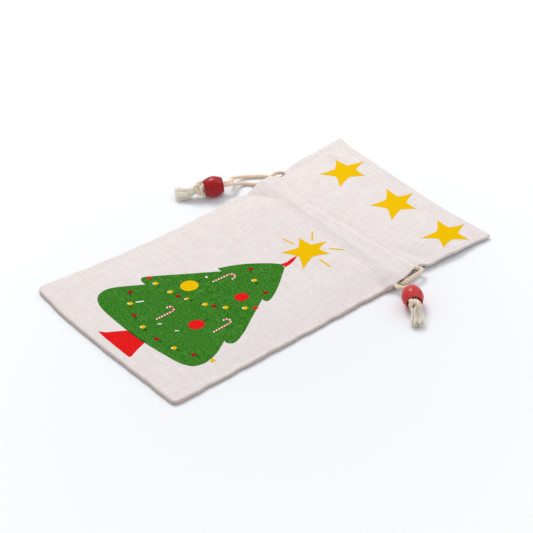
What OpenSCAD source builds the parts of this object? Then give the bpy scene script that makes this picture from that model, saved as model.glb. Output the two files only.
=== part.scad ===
// Drawstring gift pouch, lying flat and empty. X runs across the pouch, Y from its bottom edge
// to its mouth, Z up from the surface it lies on. Lengths are in millimetres.

/* [Pouch] */
// Width of the pouch across its two side seams
pouch_w = 150; // [146:1:154]
// Length of the pouch from its bottom edge to its mouth
pouch_l = 250; // [248:1:256]
// Thickness of one layer of cotton cloth
cloth_t = 0.6; // [0.5:0.1:0.6]
// Width of the turned-in cloth along the sides and the bottom
seam_w = 8; // [6:1:10]
// Width of the folded hem at each side of the ruffle
hem_w = 4; // [3:0.5:5]

/* [Channel] */
// Distance from the mouth down to the upper edge of the drawstring channel
ruffle_l = 57; // [56:0.5:57.5]
// Height of the drawstring channel between its two rows of stitches
channel_h = 22; // [22:0.5:23]
// Depth that the left edge is drawn in where the cords come out
left_notch = 9; // [8:0.5:10]

/* [Drawcords] */
// Diameter of the twisted cotton cord
cord_d = 2.6; // [2.4:0.1:2.6]
// Sides of the cord's plain tube
cord_sides = 8; // [8:1:12]

/* [Beads] */
// Largest diameter of a wooden bead
bead_d = 14; // [13.6:0.1:14]
// Length of a bead along its hole
bead_l = 13; // [13:0.1:13.4]
// Diameter of the hole through a bead
bead_bore = 6; // [6:0.1:6.6]

/* [Stitches] */
// Length of one stitch
stitch_l = 2.2; // [1.8:0.1:2.4]
// Distance from one stitch to the next
stitch_pitch = 3.2; // [3:0.1:4]

/* [Hidden] */

$fn = 32;
gap = 0.2;
half_w = pouch_w / 2;
bottom_y = -pouch_l / 2;
mouth_y = pouch_l / 2;

// The channel: cloth is raised over the cords between channel_y0 and channel_y1
channel_y1 = mouth_y - ruffle_l;
channel_y0 = channel_y1 - channel_h - 1;
flat_w = 4;
ramp = 1;
facing_y0 = channel_y0 - flat_w;
ruffle_y0 = channel_y1 + flat_w;

// Heights of the layers over the surface that the pouch lies on
cavity = cord_d + gap;
back_run_z = cloth_t + cavity / 2;
facing_z = 2 * cloth_t + cavity + gap;
panel_z = facing_z + cloth_t;
front_run_z = panel_z + cavity / 2;
mouth_facing_z = 2 * cloth_t + gap;
mouth_panel_z = mouth_facing_z + cloth_t;
bottom_panel_z = mouth_panel_z;
body_slope = atan((panel_z - bottom_panel_z) / (facing_y0 - bottom_y));
ruffle_slope = atan((mouth_panel_z - panel_z) / (mouth_y - ruffle_y0));

// Undersides of the cloth layers, from the bottom of the pouch to its mouth, as [y, z]
back_facing_line = [
    [facing_y0, cloth_t], [channel_y0, cloth_t], [channel_y0 + ramp, cloth_t + cavity],
    [channel_y1 - ramp, cloth_t + cavity], [channel_y1, cloth_t], [mouth_y, cloth_t]
];
front_facing_line = [
    [facing_y0, facing_z], [ruffle_y0, facing_z], [mouth_y, mouth_facing_z]
];
front_panel_line = [
    [bottom_y, bottom_panel_z], [facing_y0, panel_z], [channel_y0, panel_z],
    [channel_y0 + ramp, panel_z + cavity], [channel_y1 - ramp, panel_z + cavity],
    [channel_y1, panel_z], [ruffle_y0, panel_z], [mouth_y, mouth_panel_z]
];

// The cords leave the channel here, so the cloth and its facings are cut back
left_facing_cut = 18;
right_facing_cut = 6;
hem_gap = 0.3;

// Beads: the point at the middle, and the direction from the pouch to the knot
left_bead_at = [-83.8, 21.2, 7];
left_bead_turn = 245;
right_bead_at = [97.6, 43.2, 7];
right_bead_turn = -30;
strand_side = 1.35;
chamfer = 2.5;
chamfer_r = 4.6;
knot_from = 4.6;
left_straight = 12.5;
right_straight = 9.5;

// A point on one of the two strands beside the axis of a bead
function beside(at, turn, along, side) = [
    at[0] + along * cos(turn) - side * sin(turn),
    at[1] + along * sin(turn) + side * cos(turn),
    at[2]
];

// Routes of the cords' middle lines, as [x, y, z]
left_run_route = [
    [-64, 61.5, front_run_z], [66, 61.5, front_run_z], [71, 62, 6.2], [76, 64.8, 6.2],
    [79.4, 66.6, 6.1], [81.8, 64.6, 5.7], [81.8, 60, 5.1], [81.2, 55.5, 4.4],
    [79.6, 52.2, 3.5], [76, 50.9, 2.5], [71.5, 51.5, 2.1], [66, 51.5, back_run_z],
    [-64, 51.5, back_run_z]
];
left_front_route = [
    [-64, 61.5, front_run_z], [-69, 61.5, front_run_z], [-73, 60, 5.2], [-77.3, 56.8, 3.2],
    [-81.4, 52.6, 1.8], [-84.4, 48.2, 1.4], [-85.4, 43.8, 1.9], [-83.8, 39.6, 3.6],
    [-81.6, 36.2, 5.6],
    beside(left_bead_at, left_bead_turn, -left_straight, -strand_side),
    beside(left_bead_at, left_bead_turn, knot_from, -strand_side)
];
left_back_route = [
    [-64, 51.5, back_run_z], [-68, 51.5, back_run_z], [-71.3, 49.2, 1.6], [-74.4, 46.6, 1.4],
    [-77.8, 43.8, 1.4], [-79.4, 40, 2.2], [-78.6, 36, 4.4],
    beside(left_bead_at, left_bead_turn, -left_straight, strand_side),
    beside(left_bead_at, left_bead_turn, knot_from, strand_side)
];
right_run_route = [
    [66, 48, front_run_z], [-56, 48, front_run_z], [-60, 48.6, 6], [-63.6, 50.9, 5.4],
    [-65, 54.6, 4.4], [-65.4, 58.4, 3.4], [-65, 62.2, 2.4], [-62.5, 64.8, 1.9],
    [-59, 64.1, 2], [-55, 63.5, back_run_z], [66, 63.5, back_run_z]
];
right_front_route = [
    [66, 48, front_run_z], [72, 48, front_run_z], [77, 46.8, 6.1], [81, 45.4, 6.1],
    [85, 45.9, 6.6],
    beside(right_bead_at, right_bead_turn, -right_straight, -strand_side),
    beside(right_bead_at, right_bead_turn, knot_from, -strand_side)
];
right_back_route = [
    [66, 63.5, back_run_z], [71, 63.5, back_run_z], [76, 62.4, 2], [80.6, 59.8, 1.6],
    [84.2, 56.4, 2.4], [87, 53, 4.4], [88.8, 50.9, 6],
    beside(right_bead_at, right_bead_turn, -right_straight, strand_side),
    beside(right_bead_at, right_bead_turn, knot_from, strand_side)
];

// Frayed ends behind the knots: a route for each, and the half thickness at each point
tassel_radii = [1, 1.8, 2.1, 1.8, 1];
left_tail_one = [
    [-90.2, 9.2, 7], [-92.4, 8, 5.8], [-95.2, 6.2, 3.8], [-98.2, 4.8, 2.4], [-101.2, 3.2, 1.8]
];
left_tail_two = [
    [-88.9, 8.8, 7], [-89.8, 6.9, 5.6], [-91.4, 4.6, 3.4], [-93.2, 2.4, 2.3], [-95, 0, 1.8]
];
right_tail_one = [
    [109.8, 37.7, 7], [111.6, 37.3, 5.6], [113.4, 36.6, 3.6], [115.2, 35.8, 2.5], [117, 34.6, 1.8]
];
right_tail_two = [
    [108.6, 35.4, 7], [109.8, 34.2, 5.6], [111.2, 32.8, 3.6], [112.8, 31.2, 2.5], [114.2, 29, 1.8]
];

// The printed picture, measured from the middle of the pouch and up from its bottom edge
ink_t = 0.1;
tree_outline = [
    [15, 130], [5, 125], [-11, 103], [-13, 98], [-9, 98], [-35, 62], [-38, 56], [-35, 53],
    [-31, 54], [-40, 40], [-44, 29], [-41, 23], [-32, 19], [-16, 18], [0, 19], [17, 20],
    [39, 23], [52, 27], [58, 35], [57, 43], [48, 57], [53, 59], [53, 65], [39, 86],
    [31, 99], [35, 101], [35, 104], [26, 117]
];
trunk_outline = [[-13, 4], [20, 4], [15, 19.6], [0, 19]];
tip_outline = [[10.5, 131], [15, 130], [11, 142.4]];
topper_at = [12, 151];
topper_r = 15;
ray_turns = [80, 40, -35, -90];
ruffle_stars = [[-40, 27.5], [11, 29.5], [59, 32]];
star_r = 16;
star_inner = 0.45;
ray_w = 1.2;
ray_from = 12.5;
ray_l = 8;
garlands = [
    [[-35, 59], [6, 58], [36, 92], 10],
    [[1, 113], [12, 107], [27, 105], 3],
    [[-32, 42], [12, 13], [53, 40], 8]
];
red_baubles = [[20.5, 91.5], [23.5, 54]];
red_bauble_r = 5;
yellow_bauble = [-11.5, 73.5];
yellow_bauble_r = 5.8;
light_r = 1.2;
canes = [[-4.5, 87, -6, 0], [2.5, 38, 2, 1], [36.5, 58, 2, 1]];

function bezier(g, t) =
    (1 - t) * (1 - t) * g[0] + 2 * t * (1 - t) * g[1] + t * t * g[2];

// ---- a tube swept along a route ----
function along(p, i) =
    let (a = p[max(i - 1, 0)], b = p[min(i + 1, len(p) - 1)]) (b - a) / norm(b - a);
function ring(p, i, r, n) =
    let (t = along(p, i), c = cross(t, [0, 0, 1]), s = c / norm(c), u = cross(s, t))
    [for (k = [0 : n - 1]) p[i] + r * (cos(360 * k / n) * s + sin(360 * k / n) * u)];

module tube(route, radii, sides = cord_sides) {
    count = len(route);
    points = [for (i = [0 : count - 1]) each ring(route, i, radii[i], sides)];
    walls = [
        for (i = [0 : count - 2]) for (k = [0 : sides - 1])
            let (m = (k + 1) % sides)
            [i * sides + k, i * sides + m, (i + 1) * sides + m, (i + 1) * sides + k]
    ];
    near = [for (k = [0 : sides - 1]) sides - 1 - k];
    far = [for (k = [0 : sides - 1]) (count - 1) * sides + k];
    polyhedron(points, concat([near], walls, [far]), convexity = 10);
}

module cord(route) {
    color("wheat") tube(route, [for (p = route) cord_d / 2]);
}

// ---- cloth ----
// One layer of cloth above the line of its underside, centred across the pouch
module cloth_strip(line, width, thick = cloth_t) {
    last = len(line) - 1;
    raised = [for (i = [last : -1 : 0]) line[i] + [0, thick]];
    rotate([90, 0, 90])
        linear_extrude(width, center = true)
            polygon(concat(line, raised));
}

// What is cut from the sides of a layer: the drawn-in edge and the room for the hems
module side_cuts(left_cut, right_cut) {
    tall = 20;
    translate([-half_w - 1, facing_y0, -1])
        cube([left_notch + 1, channel_y1 + 1 - facing_y0, tall]);
    translate([-half_w - 1, channel_y0 + 0.5, -1])
        cube([left_cut + 1, channel_h + 0.5, tall]);
    translate([half_w - right_cut, channel_y0 + 0.5, -1])
        cube([right_cut + 1, channel_h + 0.5, tall]);
    for (side = [-1, 1])
        translate([side * half_w, (ruffle_y0 + mouth_y) / 2, 0])
            cube([2 * (hem_w + hem_gap), mouth_y - ruffle_y0, 2 * tall], center = true);
}

module front_panel() {
    color("linen")
        difference() {
            cloth_strip(front_panel_line, pouch_w);
            side_cuts(left_notch, 0);
        }
}

module back_panel() {
    color("linen")
        difference() {
            cloth_strip([[bottom_y, 0], [mouth_y, 0]], pouch_w);
            side_cuts(left_notch, 0);
        }
}

module front_facing() {
    color("antiquewhite")
        difference() {
            cloth_strip(front_facing_line, pouch_w);
            side_cuts(left_facing_cut, right_facing_cut);
        }
}

module back_facing() {
    color("antiquewhite")
        difference() {
            cloth_strip(back_facing_line, pouch_w);
            side_cuts(left_facing_cut, right_facing_cut);
        }
}

// Underside of the front panel over its body, at a distance up from the bottom edge
function body_z(up) = bottom_panel_z + up * tan(body_slope);

module side_seam_allowance(side) {
    color("antiquewhite")
        translate([side * (half_w - seam_w / 2), 0, 0])
            rotate([90, 0, 90])
                linear_extrude(seam_w, center = true)
                    polygon([
                        [bottom_y + seam_w, cloth_t], [facing_y0, cloth_t],
                        [facing_y0, panel_z], [bottom_y + seam_w, body_z(seam_w)]
                    ]);
}

module left_seam_allowance() side_seam_allowance(-1);

module right_seam_allowance() side_seam_allowance(1);

module bottom_seam_allowance() {
    color("antiquewhite")
        rotate([90, 0, 90])
            linear_extrude(pouch_w, center = true)
                polygon([
                    [bottom_y, cloth_t], [bottom_y + seam_w, cloth_t],
                    [bottom_y + seam_w, body_z(seam_w)], [bottom_y, bottom_panel_z]
                ]);
}

// A folded hem at one side of the ruffle, two layers thick
module ruffle_hem(side, z_channel, z_mouth) {
    color("linen")
        translate([side * (half_w - hem_w / 2), 0, 0])
            cloth_strip([[ruffle_y0, z_channel], [mouth_y, z_mouth]], hem_w, 2 * cloth_t);
}

module left_front_hem() ruffle_hem(-1, facing_z, mouth_facing_z);

module left_back_hem() ruffle_hem(-1, 0, 0);

module right_front_hem() ruffle_hem(1, facing_z, mouth_facing_z);

module right_back_hem() ruffle_hem(1, 0, 0);

// ---- thread ----
thread_w = 0.5;
thread_h = 0.3;

// A row of stitches across the pouch, on a flat strip of cloth at height z
module stitch_row(y, z) {
    first = -half_w + left_notch + 3;
    last = half_w - 5;
    color("ivory")
        for (x = [first : stitch_pitch : last])
            translate([x, y - thread_w / 2, z])
                cube([stitch_l, thread_w, thread_h]);
}

module front_lower_stitching() stitch_row(channel_y0 - 2, panel_z + cloth_t);

module front_upper_stitching() stitch_row(channel_y1 + 2, panel_z + cloth_t);

module back_lower_stitching() stitch_row(channel_y0 - 2, 2 * cloth_t);

module back_upper_stitching() stitch_row(channel_y1 + 2, 2 * cloth_t);

// Overlocked thread along the raw inner edge of a seam allowance
overlock_t = 0.4;
overlock_h = 1.2;

module side_overlock(side) {
    inner = half_w - seam_w - overlock_t / 2;
    color("ivory")
        for (y = [bottom_y + seam_w + 2 : stitch_pitch : facing_y0 - 2])
            translate([side * inner, y, cloth_t + overlock_h / 2])
                cube([overlock_t, stitch_l, overlock_h], center = true);
}

module left_overlock() side_overlock(-1);

module right_overlock() side_overlock(1);

module bottom_overlock() {
    reach = half_w - seam_w - 3;
    color("ivory")
        for (x = [-reach : stitch_pitch : reach])
            translate([x, bottom_y + seam_w + overlock_t / 2, cloth_t + overlock_h / 2])
                cube([stitch_l, overlock_t, overlock_h], center = true);
}

// ---- drawcords ----
module left_cord_run() cord(left_run_route);

module left_cord_front_strand() cord(left_front_route);

module left_cord_back_strand() cord(left_back_route);

module right_cord_run() cord(right_run_route);

module right_cord_front_strand() cord(right_front_route);

module right_cord_back_strand() cord(right_back_route);

// ---- beads, knots and frayed ends ----
// Puts a turned shape on the axis of a bead, with its height pointing to the knot
module on_bead_axis(at, turn) {
    translate(at)
        rotate([0, 90, turn])
            children();
}

// Barrel bead with a countersunk hole
module bead(at, turn) {
    half = bead_l / 2;
    flat_r = 5.2;
    belly = [for (a = [-60 : 10 : 60]) [flat_r + (bead_d / 2 - flat_r) * cos(a * 1.5), half * a / 60]];
    color("firebrick")
        on_bead_axis(at, turn)
            rotate_extrude($fn = 48)
                polygon(concat(
                    [[chamfer_r, -half]], belly,
                    [[chamfer_r, half], [bead_bore / 2, half - chamfer], [bead_bore / 2, chamfer - half]]
                ));
}

module left_bead() bead(left_bead_at, left_bead_turn);

module right_bead() bead(right_bead_at, right_bead_turn);

// Overhand knot of both strands, drawn up into the mouth of the bead's hole
module knot(at, turn) {
    color("wheat")
        on_bead_axis(at, turn)
            rotate_extrude()
                polygon([
                    [0, knot_from], [2.7, knot_from], [4.2, 6.9], [4.6, 8.6], [4.2, 10.8],
                    [3, 12.6], [0, 12.6]
                ]);
}

module left_knot() knot(left_bead_at, left_bead_turn);

module right_knot() knot(right_bead_at, right_bead_turn);

module tassel(one, two) {
    color("cornsilk") {
        tube(one, tassel_radii);
        tube(two, tassel_radii);
    }
}

module left_tassel() tassel(left_tail_one, left_tail_two);

module right_tassel() tassel(right_tail_one, right_tail_two);

// ---- printed picture ----
// Ink on the body of the front panel, or on its ruffle, in a given layer
module on_body(layer = 0) {
    translate([0, bottom_y, bottom_panel_z + cloth_t])
        rotate([body_slope, 0, 0])
            translate([0, 0, layer * ink_t])
                linear_extrude(ink_t)
                    children();
}

module on_ruffle() {
    translate([0, ruffle_y0, panel_z + cloth_t])
        rotate([ruffle_slope, 0, 0])
            linear_extrude(ink_t)
                children();
}

module star(r, turn) {
    rotate(turn)
        polygon([for (i = [0 : 9]) (i % 2 == 0 ? r : star_inner * r) * [sin(36 * i), cos(36 * i)]]);
}

module lights(parity) {
    for (g = garlands)
        for (i = [parity : 2 : g[3] - 1])
            translate(bezier(g, i / (g[3] - 1)))
                circle(light_r, $fn = 20);
}

module green_print() {
    color("forestgreen")
        on_body()
            polygon(tree_outline);
}

module red_print() {
    color("red") {
        on_body() {
            polygon(trunk_outline);
            polygon(tip_outline);
        }
        on_body(1) {
            for (b = red_baubles)
                translate(b) circle(red_bauble_r);
            lights(0);
        }
    }
}

module yellow_print() {
    color("gold") {
        on_body() {
            translate(topper_at) star(topper_r, 6);
            for (a = ray_turns)
                translate(topper_at)
                    rotate(a)
                        translate([-ray_w / 2, ray_from])
                            square([ray_w, ray_l]);
        }
        on_body(1) {
            translate(yellow_bauble) circle(yellow_bauble_r);
            lights(1);
        }
        on_ruffle()
            for (at = ruffle_stars)
                translate(at) star(star_r, 4);
    }
}

// Candy cane: a straight stick with a hooked top
module cane() {
    hook = 2.6;
    wide = 1.6;
    translate([-wide / 2, 0]) square([wide, 11]);
    translate([hook, 11])
        intersection() {
            difference() {
                circle(hook + wide / 2);
                circle(hook - wide / 2);
            }
            translate([-5, 0]) square([10, 5]);
        }
}

module white_print() {
    color("white")
        on_body(1)
            for (c = canes)
                translate([c[0], c[1]]) rotate(c[2]) mirror([c[3], 0]) cane();
}

front_panel();
back_panel();
front_facing();
back_facing();
left_seam_allowance();
right_seam_allowance();
bottom_seam_allowance();
left_overlock();
right_overlock();
bottom_overlock();
front_lower_stitching();
front_upper_stitching();
back_lower_stitching();
back_upper_stitching();
left_front_hem();
left_back_hem();
right_front_hem();
right_back_hem();
left_cord_run();
left_cord_front_strand();
left_cord_back_strand();
right_cord_run();
right_cord_front_strand();
right_cord_back_strand();
left_bead();
right_bead();
left_knot();
right_knot();
left_tassel();
right_tassel();
green_print();
red_print();
yellow_print();
white_print();
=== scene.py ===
from math import ceil, cos, pi, radians, sin

import bmesh
import bpy
import numpy as np
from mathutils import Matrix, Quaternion, Vector
from mathutils.geometry import delaunay_2d_cdt


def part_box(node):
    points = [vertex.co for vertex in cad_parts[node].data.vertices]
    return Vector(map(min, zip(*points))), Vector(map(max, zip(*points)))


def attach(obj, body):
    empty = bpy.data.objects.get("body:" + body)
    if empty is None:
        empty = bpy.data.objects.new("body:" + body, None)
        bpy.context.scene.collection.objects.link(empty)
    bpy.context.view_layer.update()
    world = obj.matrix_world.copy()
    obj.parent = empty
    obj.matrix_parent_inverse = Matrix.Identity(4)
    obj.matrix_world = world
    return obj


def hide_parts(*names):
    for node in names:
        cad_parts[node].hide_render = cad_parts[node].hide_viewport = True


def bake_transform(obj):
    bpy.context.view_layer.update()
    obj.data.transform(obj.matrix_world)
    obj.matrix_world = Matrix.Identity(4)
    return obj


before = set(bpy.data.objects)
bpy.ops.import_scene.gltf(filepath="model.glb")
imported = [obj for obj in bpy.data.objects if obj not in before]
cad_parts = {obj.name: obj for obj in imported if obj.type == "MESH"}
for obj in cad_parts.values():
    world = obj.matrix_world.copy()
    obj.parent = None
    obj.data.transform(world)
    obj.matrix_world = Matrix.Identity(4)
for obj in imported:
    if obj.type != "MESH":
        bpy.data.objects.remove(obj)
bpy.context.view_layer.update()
MM = 0.001

# ---- Camera ----
# It looks down on the flat pouch from its lower right side, tilted a little, through a long lens.
camera_turn, camera_height, camera_roll = radians(55.82), radians(37.65), radians(-5.19)
camera_distance = 1.51225
camera_aim = Vector((0.00297, -0.00053, 0))
back = Vector((
    sin(camera_turn) * cos(camera_height), -cos(camera_turn) * cos(camera_height),
    sin(camera_height),
))
camera = bpy.data.objects.new("camera", bpy.data.cameras.new("camera"))
camera.data.lens = 158.18
camera.location = camera_aim + camera_distance * back
camera.rotation_mode = "QUATERNION"
camera.rotation_quaternion = (
    (-back).to_track_quat("-Z", "Y") @ Quaternion((0, 0, 1), camera_roll)
)
bpy.context.scene.collection.objects.link(camera)
bpy.context.scene.camera = camera

# ---- Drawcords ----
# Two three-ply natural cotton cords, each threaded once round the channel from its own side.
# Each is laid with a 6.6 mm twist; its two ends leave the pouch together, through a bead.
ply_r, ply_offset, lay = 0.67, 0.71, 6.6
left_bead_at, left_bead_turn = (-83.8, 21.2, 7), radians(245)
right_bead_at, right_bead_turn = (97.6, 43.2, 7), radians(-30)
strand_side, left_straight, right_straight, knot_from = 1.35, 12.5, 9.5, 4.6


def beside(at, turn, along, side):
    """A point beside the axis of a bead, in millimetres."""
    return (
        at[0] + along * cos(turn) - side * sin(turn),
        at[1] + along * sin(turn) + side * cos(turn),
        at[2],
    )


left_run = [
    (-64, 58.6, 6.1), (-56, 57.6, 6.2), (-40, 54.9, 6.2), (-20, 53.8, 6.2), (5, 54.6, 6.2),
    (30, 55.6, 6.2), (52, 57.2, 6.2), (64, 59.8, 6.1), (70, 62.8, 5.6), (74.6, 66.2, 4.9),
    (77.8, 67.6, 5), (79.8, 64.6, 5.2), (80.3, 58.6, 5), (79.9, 53, 4.2), (78.5, 49.4, 3.2),
    (75, 48.6, 2.3), (71, 49.8, 2), (66, 51, 2), (30, 50, 2), (-30, 50, 2), (-64, 51.5, 2),
]
left_front_strand = [
    (-62, 58.6, 6), (-65, 59.6, 4.9), (-67.6, 61, 3), (-70.6, 61.2, 1.7), (-74.4, 59.4, 1.35),
    (-78.6, 55.6, 1.35), (-82.4, 50.6, 1.4), (-85.2, 45.8, 2), (-85.8, 41, 3.4),
    (-84.4, 36.8, 5.4),
    beside(left_bead_at, left_bead_turn, -left_straight, -strand_side),
    beside(left_bead_at, left_bead_turn, knot_from, -strand_side),
]
left_back_strand = [
    (-64, 51.5, 2), (-68, 51.5, 2), (-71.3, 49.2, 1.6), (-74.4, 46.6, 1.4),
    (-77.8, 43.8, 1.4), (-79.4, 40, 2.2), (-78.6, 36, 4.4),
    beside(left_bead_at, left_bead_turn, -left_straight, strand_side),
    beside(left_bead_at, left_bead_turn, knot_from, strand_side),
]
right_run = [
    (64, 49.4, 6.2), (30, 49, 6.2), (-30, 49, 6.2), (-54, 49.2, 6.2), (-60, 50.2, 5.9),
    (-64.6, 52.4, 5), (-68, 56.4, 4.4), (-69.8, 61.4, 4.3), (-70.4, 66, 3.4),
    (-68, 69.4, 2.6), (-63.6, 68.6, 2.2), (-58, 64.4, 2), (-50, 58.6, 2), (-36, 55.8, 2),
    (-10, 55.2, 2), (30, 58, 2), (64, 63.2, 2),
]
right_front_strand = [
    (64, 49.4, 6.2), (70, 48.8, 5.9), (75.4, 46.8, 4.8), (80, 44.9, 4.3), (84.2, 45.5, 5.5),
    beside(right_bead_at, right_bead_turn, -right_straight, -strand_side),
    beside(right_bead_at, right_bead_turn, knot_from, -strand_side),
]
right_back_strand = [
    (64, 63.2, 2), (69.6, 61.8, 2), (73.8, 57.2, 1.95), (77.3, 53.4, 1.6), (81, 51.9, 1.4),
    (84.6, 51.6, 2.8), (87.2, 50.9, 5),
    beside(right_bead_at, right_bead_turn, -right_straight, strand_side),
    beside(right_bead_at, right_bead_turn, knot_from, strand_side),
]


def curved(t, a, leaving, b, arriving):
    """A share t of the way along a smooth curve from a to b, with its directions at both."""
    return (
        (2 * t**3 - 3 * t**2 + 1) * a + (t**3 - 2 * t**2 + t) * leaving
        + (3 * t**2 - 2 * t**3) * b + (t**3 - t**2) * arriving
    )


def eased(points, step=0.5):
    """A smooth line through the points, with a point about every step."""
    p = np.array(points, float)
    p = np.vstack([2 * p[0] - p[1], p, 2 * p[-1] - p[-2]])
    line = []
    for a, b, c, d in zip(p, p[1:], p[2:], p[3:]):
        k1, k2 = (c - a), (d - b)
        span = np.linalg.norm(c - b)
        k1 *= span / max(np.linalg.norm(b - a) + span, 1e-6)
        k2 *= span / max(np.linalg.norm(d - c) + span, 1e-6)
        count = max(2, ceil(span / step))
        line += [curved(t, b, k1, c, k2) for t in np.linspace(0, 1, count, endpoint=False)]
    line.append(p[-2])
    return np.array(line)


def add(tree, kind, inputs=(), **settings):
    """A new node. Each input is a value, or another node's output to link."""
    made = tree.nodes.new(kind)
    for key, value in settings.items():
        setattr(made, key, value)
    for key, value in dict(inputs).items():
        if isinstance(value, bpy.types.NodeSocket):
            tree.links.new(value, made.inputs[key])
        else:
            made.inputs[key].default_value = value
    return made


def maths(tree, operation, a, b=0.0, c=0.0):
    return add(tree, "ShaderNodeMath", {0: a, 1: b, 2: c}, operation=operation).outputs[0]


def vector(tree, operation, a, b=(0, 0, 0)):
    return add(tree, "ShaderNodeVectorMath", {0: a, 1: b}, operation=operation).outputs[0]


def scaled(tree, a, size):
    return add(tree, "ShaderNodeVectorMath", {0: a, "Scale": size}, operation="SCALE").outputs[0]


def new_tree(name, inputs):
    """An empty Geometry Nodes tree with named inputs, and its input node."""
    tree = bpy.data.node_groups.new(name, "GeometryNodeTree")
    tree.interface.new_socket("Geometry", in_out="INPUT", socket_type="NodeSocketGeometry")
    for label, kind in inputs.items():
        tree.interface.new_socket(label, in_out="INPUT", socket_type="NodeSocket" + kind)
    tree.interface.new_socket("Geometry", in_out="OUTPUT", socket_type="NodeSocketGeometry")
    return tree, tree.nodes.new("NodeGroupInput").outputs


def lines_of(tree, given, how, amount):
    """The given lines as curves, with points a LENGTH apart or by COUNT."""
    curve = add(tree, "GeometryNodeMeshToCurve", {0: given["Geometry"]}).outputs[0]
    return add(tree, "GeometryNodeResampleCurve", {"Curve": curve, how.title(): amount},
               mode=how).outputs[0]


def swept(tree, curve, section):
    return add(tree, "GeometryNodeCurveToMesh",
               {"Curve": curve, "Profile Curve": section, "Fill Caps": True}).outputs[0]


def end_tree(tree, geometry, material):
    """Makes instances real, sets the material and closes the tree."""
    real = add(tree, "GeometryNodeRealizeInstances", {0: geometry})
    painted = add(tree, "GeometryNodeSetMaterial", {0: real.outputs[0], "Material": material})
    add(tree, "NodeGroupOutput", {0: painted.outputs[0]})


def keep(tree, geometry, name, value, domain):
    """The geometry with one more value stored on it under a name."""
    return add(tree, "GeometryNodeStoreNamedAttribute",
               {"Geometry": geometry, "Name": name, "Value": value},
               data_type="FLOAT", domain=domain)


def link(name, mesh):
    piece = bpy.data.objects.new(name, mesh)
    bpy.context.scene.collection.objects.link(piece)
    return piece


def smooth_outward(mesh):
    """Makes every face smooth and turns its normal outward."""
    shape = bmesh.new()
    shape.from_mesh(mesh)
    bmesh.ops.recalc_face_normals(shape, faces=shape.faces)
    for face in shape.faces:
        face.smooth = True
    shape.to_mesh(mesh)
    shape.free()


def grown(name, lines, tree, values):
    """A mesh that a Geometry Nodes tree grows along one or more lines of points."""
    mesh = bpy.data.meshes.new(name)
    points, edges = [], []
    for line in lines:
        edges += [(len(points) + i, len(points) + i + 1) for i in range(len(line) - 1)]
        points += [tuple(p) for p in line]
    mesh.from_pydata(points, edges, [])
    piece = link(name, mesh)
    modifier = piece.modifiers.new(tree.name, "NODES")
    modifier.node_group = tree
    sockets = {s.name: s.identifier for s in tree.interface.items_tree if s.in_out == "INPUT"}
    for label, value in values.items():
        modifier[sockets[label]] = value
    done = bpy.data.meshes.new_from_object(
        piece.evaluated_get(bpy.context.evaluated_depsgraph_get())
    )
    piece.modifiers.clear()
    smooth_outward(done)
    piece.data = done
    return piece


# The cord's section is three round plies; it turns along the line once in every lay.
rope_tree, given = new_tree(
    "laid_rope", {"Lay": "Float", "Ply": "Float", "Offset": "Float", "Step": "Float",
                  "Material": "Material"}
)
line = lines_of(rope_tree, given, "LENGTH", given["Step"])
run_length = add(rope_tree, "GeometryNodeSplineParameter").outputs["Length"]
line = keep(rope_tree, line, "along", run_length, "POINT")
turn = maths(rope_tree, "DIVIDE", run_length, given["Lay"])
line = add(rope_tree, "GeometryNodeSetCurveTilt",
           {"Curve": line.outputs[0], "Tilt": maths(rope_tree, "MULTIPLY", turn, 2 * pi)})
section = add(rope_tree, "GeometryNodeCurvePrimitiveCircle", {"Resolution": 24, "Radius": 1.0})
index = add(rope_tree, "GeometryNodeInputIndex").outputs[0]
step_in_ply = maths(rope_tree, "SUBTRACT", maths(rope_tree, "MODULO", index, 8.0), 4.0)
swing = maths(rope_tree, "MULTIPLY", step_in_ply, radians(15))
off_sin = maths(rope_tree, "MULTIPLY", given["Offset"], maths(rope_tree, "SINE", swing))
inside = maths(rope_tree, "SUBTRACT", maths(rope_tree, "POWER", given["Ply"], 2.0),
               maths(rope_tree, "MULTIPLY", off_sin, off_sin))
reach = maths(rope_tree, "MULTIPLY_ADD", given["Offset"], maths(rope_tree, "COSINE", swing),
              maths(rope_tree, "SQRT", inside))
place = scaled(rope_tree, add(rope_tree, "GeometryNodeInputPosition").outputs[0], reach)
section = add(rope_tree, "GeometryNodeSetPosition",
              {"Geometry": section.outputs[0], "Position": place})
# The groove value is 1 where two plies meet and 0 on a ply's crest; the cord's material paints
# shade with it.
groove = maths(rope_tree, "DIVIDE", maths(rope_tree, "ABSOLUTE", step_in_ply), 4.0)
section = keep(rope_tree, section.outputs[0], "groove", groove, "POINT")
end_tree(rope_tree, swept(rope_tree, line.outputs[0], section.outputs[0]), given["Material"])


def finish_of(name, colour, roughness, **sockets):
    """A new material: its node tree and its Principled shader, with uniform values set."""
    material = bpy.data.materials.new(name)
    material.use_nodes = True
    shader = material.node_tree.nodes["Principled BSDF"]
    shader.inputs["Base Color"].default_value = (*colour, 1)
    shader.inputs["Roughness"].default_value = roughness
    for key, value in sockets.items():
        shader.inputs[key.replace("_", " ")].default_value = value
    return material, material.node_tree, shader


def noise(tree, vector, scale, detail=2.0):
    return add(tree, "ShaderNodeTexNoise",
               {"Vector": vector, "Scale": scale, "Detail": detail}).outputs[0]


def mixed(tree, share, a, b):
    """Colour a where the share is 0 and colour b where it is 1."""
    made = add(tree, "ShaderNodeMix", {0: share}, data_type="RGBA")
    for socket, value in ((6, a), (7, b)):
        if isinstance(value, bpy.types.NodeSocket):
            tree.links.new(value, made.inputs[socket])
        else:
            made.inputs[socket].default_value = (*value, 1)
    return made.outputs[2]


def ranged(tree, value, low, high, to_low=0.0, to_high=1.0):
    return add(tree, "ShaderNodeMapRange",
               {0: value, 1: low, 2: high, 3: to_low, 4: to_high}).outputs[0]


def own_place(tree):
    return add(tree, "ShaderNodeTexCoord").outputs["Object"]


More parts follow.
